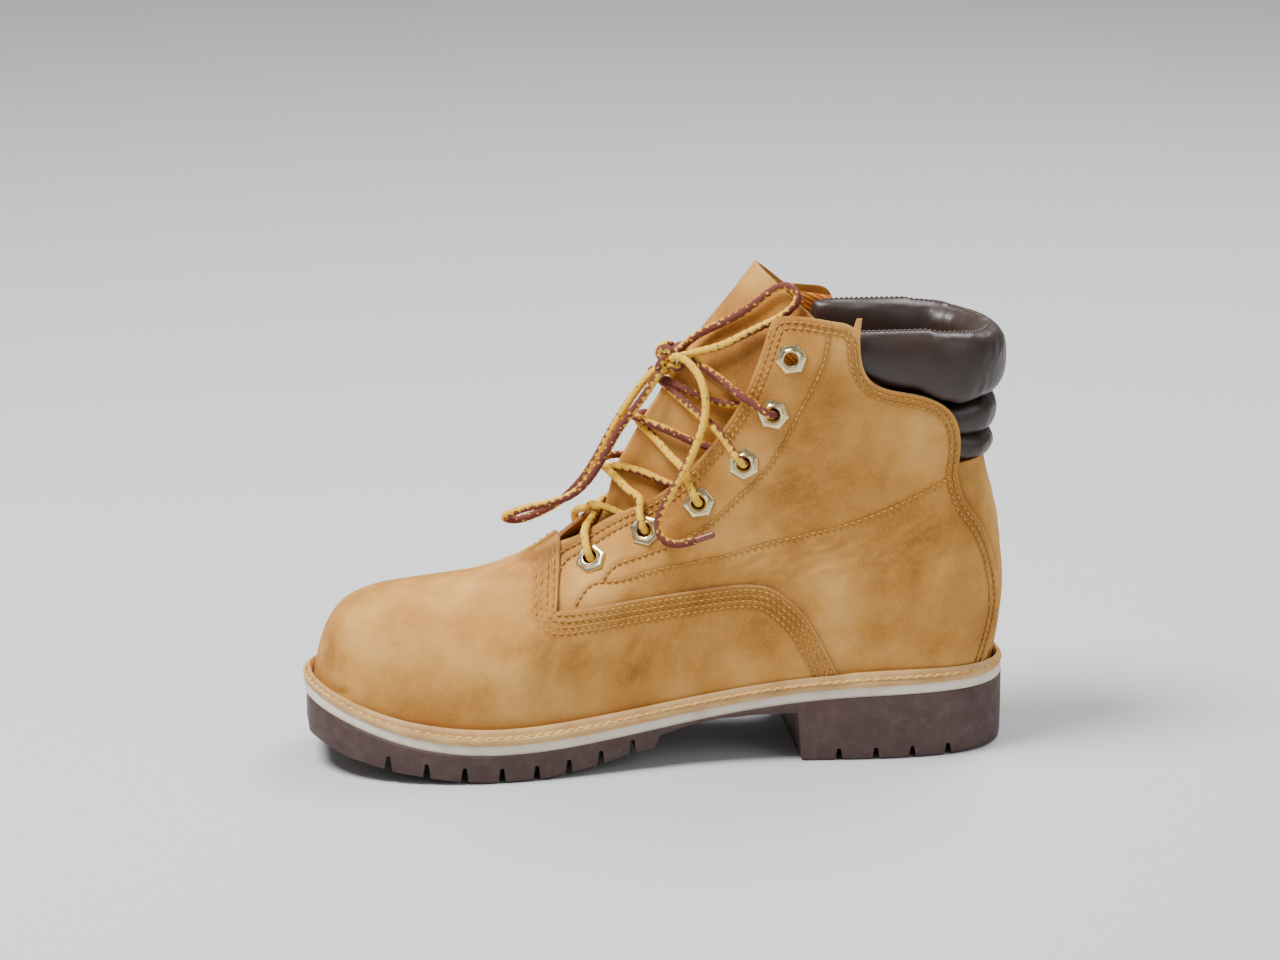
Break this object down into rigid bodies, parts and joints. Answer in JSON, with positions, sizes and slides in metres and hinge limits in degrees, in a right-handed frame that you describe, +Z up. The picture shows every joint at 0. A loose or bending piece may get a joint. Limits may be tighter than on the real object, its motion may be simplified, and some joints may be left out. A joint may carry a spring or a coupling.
{
  "type": "work boot",
  "caption": "Lace-up work boot with a steel toe cap, padded collar, welted lugged sole and a two-tone lace tied in a bow.",
  "frame": {"origin": "on the ground, at the centre of the boot's bounding box in plan", "axes": "+Z up, -X towards the toe, +X towards the heel, -Y towards the inner (medial) side of a right foot"},
  "size_m": [0.3044, 0.109, 0.2123],
  "materials": {
    "nubuck": "matt brushed nubuck",
    "collar_leather": "smooth, low sheen",
    "welt_leather": "matt",
    "twill": "ribbed twill",
    "lace_yarn": "braided, two colours",
    "aglet_plastic": "glossy",
    "eyelet_metal": "pale plated, polished",
    "sole_rubber": "matt",
    "midsole_rubber": "matt",
    "steel": "pressed, plain",
    "fibreboard": "pressed fibre",
    "cork": "granular",
    "footbed_foam": "cloth-faced foam",
    "gasket_plastic": "matt"
  },
  "bodies": {
    "boot": {"outsole": "sole_rubber", "midsole": "midsole_rubber", "welt": "welt_leather", "cork_filler": "cork", "heel_filler": "cork", "steel_shank": "steel", "insole_board": "fibreboard", "footbed": "footbed_foam", "vamp": "nubuck", "steel_toe_cap": "steel", "toe_cap_gasket": "gasket_plastic", "vamp_lining": "twill", "backstay": "nubuck", "heel_counter": "fibreboard", "heel_lining": "twill", "collar_roll_top": "collar_leather", "collar_roll_middle": "collar_leather", "collar_roll_bottom": "collar_leather", "collar_lining": "collar_leather", "lace_threaded": "lace_yarn", "lace_loop_front": "lace_yarn", "lace_loop_rear": "lace_yarn", "lace_end_medial": "lace_yarn", "lace_end_lateral": "lace_yarn", "lace_knot": "lace_yarn", "aglet_medial": "aglet_plastic", "aglet_lateral": "aglet_plastic", "quarter_medial": "nubuck", "quarter_lining_medial": "twill", "gusset_medial": "nubuck", "eyelet_medial_1": "eyelet_metal", "eyelet_medial_2": "eyelet_metal", "eyelet_medial_3": "eyelet_metal", "eyelet_medial_4": "eyelet_metal", "eyelet_medial_5": "eyelet_metal", "eyelet_medial_6": "eyelet_metal", "quarter_lateral": "nubuck", "quarter_lining_lateral": "twill", "gusset_lateral": "nubuck", "eyelet_lateral_1": "eyelet_metal", "eyelet_lateral_2": "eyelet_metal", "eyelet_lateral_3": "eyelet_metal", "eyelet_lateral_4": "eyelet_metal", "eyelet_lateral_5": "eyelet_metal", "eyelet_lateral_6": "eyelet_metal"},
    "tongue": {"tongue": "nubuck", "tongue_lining": "twill"}
  },
  "joints": [
    {"name": "tongue_tilt", "type": "hinge", "parent": "boot", "child": "tongue", "pos_m": [-0.042, 0, 0.088], "axis": [0, 1, 0], "range_deg": [0, 10]}
  ]
}
